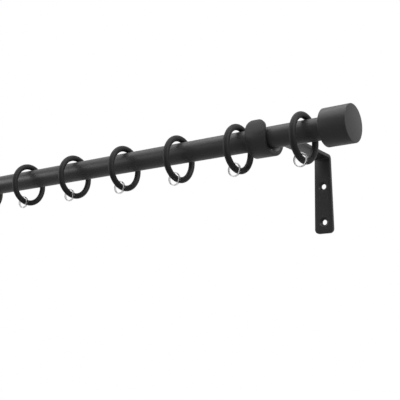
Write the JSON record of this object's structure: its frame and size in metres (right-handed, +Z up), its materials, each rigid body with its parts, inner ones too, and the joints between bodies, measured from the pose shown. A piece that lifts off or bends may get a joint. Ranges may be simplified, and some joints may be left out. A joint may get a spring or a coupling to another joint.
{
  "type": "curtain rod",
  "caption": "Round curtain rod on two bent-strip wall brackets, with plain cylindrical finials, closed sliding rings and clear ring eyelets.",
  "frame": {"origin": "middle of the four wall screw holes, on the wall plane at the backs of the two wall plates", "axes": "+X along the rod, +Y into the wall, +Z up; the room is on -Y"},
  "size_m": [1, 0.1418, 0.0891],
  "materials": {
    "powder_coat": "matt",
    "ring_black": "satin",
    "clear_plastic": "clear",
    "black_screw": "satin"
  },
  "bodies": {
    "rod_on_brackets": {"rod_tube": "powder_coat", "finial_left": "powder_coat", "finial_right": "powder_coat", "finial_screws": "black_screw", "bracket_left": "powder_coat", "bracket_right": "powder_coat"},
    "rod_screw_left": {"rod_screw_left": "black_screw"},
    "rod_screw_right": {"rod_screw_right": "black_screw"},
    "ring_01": {"ring_01": "ring_black"},
    "eyelet_01": {"eyelet_01": "clear_plastic"},
    "ring_02": {"ring_02": "ring_black"},
    "eyelet_02": {"eyelet_02": "clear_plastic"},
    "ring_03": {"ring_03": "ring_black"},
    "eyelet_03": {"eyelet_03": "clear_plastic"},
    "ring_04": {"ring_04": "ring_black"},
    "eyelet_04": {"eyelet_04": "clear_plastic"},
    "ring_05": {"ring_05": "ring_black"},
    "eyelet_05": {"eyelet_05": "clear_plastic"},
    "ring_06": {"ring_06": "ring_black"},
    "eyelet_06": {"eyelet_06": "clear_plastic"},
    "ring_07": {"ring_07": "ring_black"},
    "eyelet_07": {"eyelet_07": "clear_plastic"},
    "ring_08": {"ring_08": "ring_black"},
    "eyelet_08": {"eyelet_08": "clear_plastic"},
    "ring_09": {"ring_09": "ring_black"},
    "eyelet_09": {"eyelet_09": "clear_plastic"},
    "ring_10": {"ring_10": "ring_black"},
    "eyelet_10": {"eyelet_10": "clear_plastic"},
    "ring_11": {"ring_11": "ring_black"},
    "eyelet_11": {"eyelet_11": "clear_plastic"},
    "ring_12": {"ring_12": "ring_black"},
    "eyelet_12": {"eyelet_12": "clear_plastic"},
    "ring_13": {"ring_13": "ring_black"},
    "eyelet_13": {"eyelet_13": "clear_plastic"},
    "ring_14": {"ring_14": "ring_black"},
    "eyelet_14": {"eyelet_14": "clear_plastic"}
  },
  "joints": [
    {"name": "rod_screw_left_back_off", "type": "slide", "parent": "rod_on_brackets", "child": "rod_screw_left", "axis": [0, 1, 0], "range_m": [0, 0.004]},
    {"name": "rod_screw_right_back_off", "type": "slide", "parent": "rod_on_brackets", "child": "rod_screw_right", "axis": [0, 1, 0], "range_m": [0, 0.004]},
    {"name": "ring_01_slide", "type": "slide", "parent": "rod_on_brackets", "child": "ring_01", "axis": [1, 0, 0], "range_m": [-0.0165, 0.03]},
    {"name": "ring_02_slide", "type": "slide", "parent": "rod_on_brackets", "child": "ring_02", "axis": [1, 0, 0], "range_m": [-0.01, 0.054]},
    {"name": "ring_03_slide", "type": "slide", "parent": "rod_on_brackets", "child": "ring_03", "axis": [1, 0, 0], "range_m": [-0.054, 0.0555]},
    {"name": "ring_04_slide", "type": "slide", "parent": "rod_on_brackets", "child": "ring_04", "axis": [1, 0, 0], "range_m": [-0.0555, 0.0565]},
    {"name": "ring_05_slide", "type": "slide", "parent": "rod_on_brackets", "child": "ring_05", "axis": [1, 0, 0], "range_m": [-0.0565, 0.0575]},
    {"name": "ring_06_slide", "type": "slide", "parent": "rod_on_brackets", "child": "ring_06", "axis": [1, 0, 0], "range_m": [-0.0575, 0.0585]},
    {"name": "ring_07_slide", "type": "slide", "parent": "rod_on_brackets", "child": "ring_07", "axis": [1, 0, 0], "range_m": [-0.0585, 0.0595]},
    {"name": "ring_08_slide", "type": "slide", "parent": "rod_on_brackets", "child": "ring_08", "axis": [1, 0, 0], "range_m": [-0.0595, 0.0585]},
    {"name": "ring_09_slide", "type": "slide", "parent": "rod_on_brackets", "child": "ring_09", "axis": [1, 0, 0], "range_m": [-0.0585, 0.0575]},
    {"name": "ring_10_slide", "type": "slide", "parent": "rod_on_brackets", "child": "ring_10", "axis": [1, 0, 0], "range_m": [-0.0575, 0.0565]},
    {"name": "ring_11_slide", "type": "slide", "parent": "rod_on_brackets", "child": "ring_11", "axis": [1, 0, 0], "range_m": [-0.0565, 0.0555]},
    {"name": "ring_12_slide", "type": "slide", "parent": "rod_on_brackets", "child": "ring_12", "axis": [1, 0, 0], "range_m": [-0.0555, 0.054]},
    {"name": "ring_13_slide", "type": "slide", "parent": "rod_on_brackets", "child": "ring_13", "axis": [1, 0, 0], "range_m": [-0.054, 0.01]},
    {"name": "ring_14_slide", "type": "slide", "parent": "rod_on_brackets", "child": "ring_14", "axis": [1, 0, 0], "range_m": [-0.03, 0.0165]},
    {"name": "eyelet_01_swing", "type": "hinge", "parent": "ring_01", "child": "eyelet_01", "pos_m": [-0.4547, -0.12579, 0.0179], "axis": [0, 1, 0], "range_deg": [-60, 60]},
    {"name": "eyelet_02_swing", "type": "hinge", "parent": "ring_02", "child": "eyelet_02", "pos_m": [-0.38765, -0.12579, 0.0179], "axis": [0, 1, 0], "range_deg": [-60, 60]},
    {"name": "eyelet_03_swing", "type": "hinge", "parent": "ring_03", "child": "eyelet_03", "pos_m": [-0.31956, -0.12579, 0.0179], "axis": [0, 1, 0], "range_deg": [-60, 60]},
    {"name": "eyelet_04_swing", "type": "hinge", "parent": "ring_04", "child": "eyelet_04", "pos_m": [-0.25041, -0.12579, 0.0179], "axis": [0, 1, 0], "range_deg": [-60, 60]},
    {"name": "eyelet_05_swing", "type": "hinge", "parent": "ring_05", "child": "eyelet_05", "pos_m": [-0.18021, -0.12579, 0.0179], "axis": [0, 1, 0], "range_deg": [-60, 60]},
    {"name": "eyelet_06_swing", "type": "hinge", "parent": "ring_06", "child": "eyelet_06", "pos_m": [-0.10897, -0.12579, 0.0179], "axis": [0, 1, 0], "range_deg": [-60, 60]},
    {"name": "eyelet_07_swing", "type": "hinge", "parent": "ring_07", "child": "eyelet_07", "pos_m": [-0.03667, -0.12579, 0.0179], "axis": [0, 1, 0], "range_deg": [-60, 60]},
    {"name": "eyelet_08_swing", "type": "hinge", "parent": "ring_08", "child": "eyelet_08", "pos_m": [0.03667, -0.12579, 0.0179], "axis": [0, 1, 0], "range_deg": [-60, 60]},
    {"name": "eyelet_09_swing", "type": "hinge", "parent": "ring_09", "child": "eyelet_09", "pos_m": [0.10897, -0.12579, 0.0179], "axis": [0, 1, 0], "range_deg": [-60, 60]},
    {"name": "eyelet_10_swing", "type": "hinge", "parent": "ring_10", "child": "eyelet_10", "pos_m": [0.18021, -0.12579, 0.0179], "axis": [0, 1, 0], "range_deg": [-60, 60]},
    {"name": "eyelet_11_swing", "type": "hinge", "parent": "ring_11", "child": "eyelet_11", "pos_m": [0.25041, -0.12579, 0.0179], "axis": [0, 1, 0], "range_deg": [-60, 60]},
    {"name": "eyelet_12_swing", "type": "hinge", "parent": "ring_12", "child": "eyelet_12", "pos_m": [0.31956, -0.12579, 0.0179], "axis": [0, 1, 0], "range_deg": [-60, 60]},
    {"name": "eyelet_13_swing", "type": "hinge", "parent": "ring_13", "child": "eyelet_13", "pos_m": [0.38765, -0.12579, 0.0179], "axis": [0, 1, 0], "range_deg": [-60, 60]},
    {"name": "eyelet_14_swing", "type": "hinge", "parent": "ring_14", "child": "eyelet_14", "pos_m": [0.4547, -0.12579, 0.0179], "axis": [0, 1, 0], "range_deg": [-60, 60]}
  ]
}
